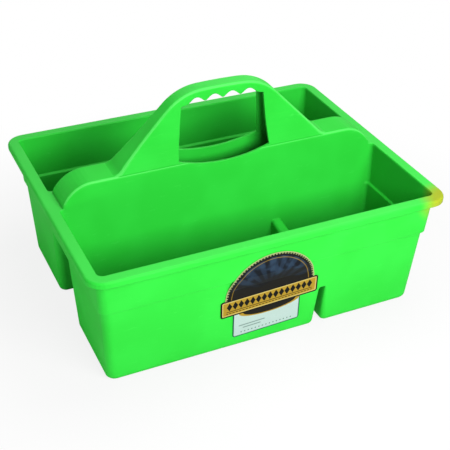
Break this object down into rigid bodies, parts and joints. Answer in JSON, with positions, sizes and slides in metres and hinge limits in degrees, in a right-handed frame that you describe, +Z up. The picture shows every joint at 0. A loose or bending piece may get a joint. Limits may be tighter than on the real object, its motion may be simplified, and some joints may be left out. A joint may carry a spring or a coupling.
{
  "type": "grooming tote",
  "caption": "Moulded carry tote with deep compartments on both sides of a hollow ridge, low dividers, and an arched handle with a finger-grooved hand window.",
  "frame": {"origin": "on the table, under the middle of the tote", "axes": "+X along the tote, +Y from the front wall with the label to the rear wall, +Z up"},
  "size_m": [0.42, 0.329, 0.2583],
  "materials": {
    "lime_polyethylene": "satin moulded polyethylene",
    "label_film": "printed film, semi-gloss"
  },
  "bodies": {
    "root": {"tote_moulding": "lime_polyethylene", "label": "label_film"}
  },
  "joints": []
}
